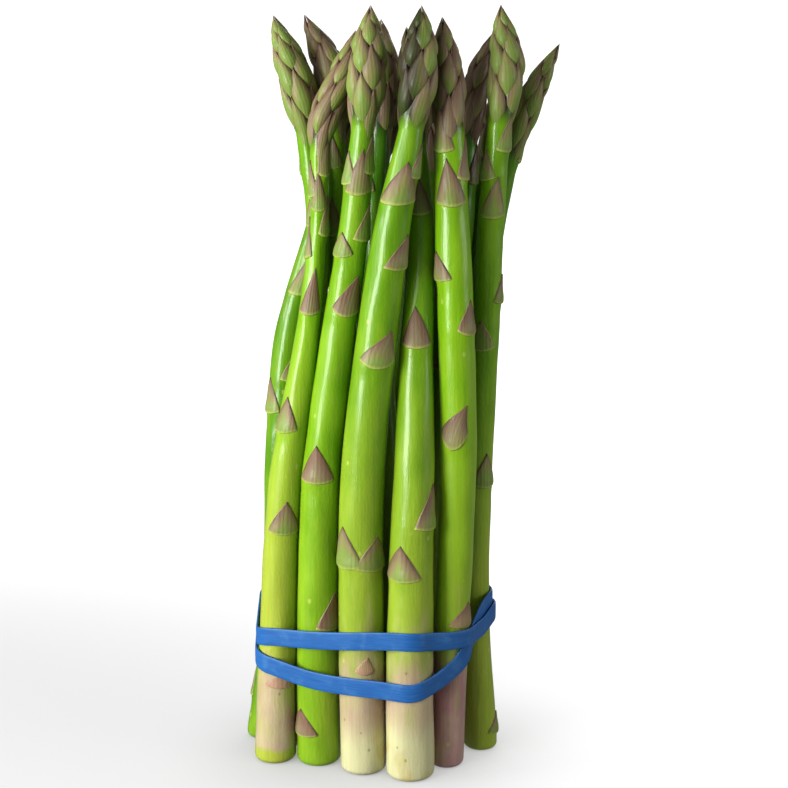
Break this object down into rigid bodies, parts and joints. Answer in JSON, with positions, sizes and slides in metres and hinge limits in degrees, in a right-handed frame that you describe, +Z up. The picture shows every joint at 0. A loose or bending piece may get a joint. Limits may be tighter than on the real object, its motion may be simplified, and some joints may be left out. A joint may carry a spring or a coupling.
{
  "type": "bundle of asparagus",
  "caption": "Upright bunch of green asparagus spears with pointed scaly heads and flat-cut feet, tied near the foot by a wide rubber band wound twice.",
  "frame": {"origin": "on the ground under the middle of the bunch's bounding box", "axes": "+Z up along the spears, -Y the front, +X to the right"},
  "size_m": [0.0966, 0.054, 0.2304],
  "materials": {
    "asparagus_skin": "satin living skin, bright yellow-green with mauve scales, fading to pale yellow at the foot",
    "blue_rubber": "matte blue rubber with fine lengthwise grain"
  },
  "bodies": {
    "root": {"spear_01": "asparagus_skin", "spear_02": "asparagus_skin", "spear_03": "asparagus_skin", "spear_04": "asparagus_skin", "spear_05": "asparagus_skin", "spear_06": "asparagus_skin", "spear_07": "asparagus_skin", "spear_08": "asparagus_skin", "spear_09": "asparagus_skin", "spear_10": "asparagus_skin", "spear_11": "asparagus_skin", "spear_12": "asparagus_skin", "spear_13": "asparagus_skin", "spear_14": "asparagus_skin", "spear_15": "asparagus_skin", "rubber_band": "blue_rubber"}
  },
  "joints": []
}
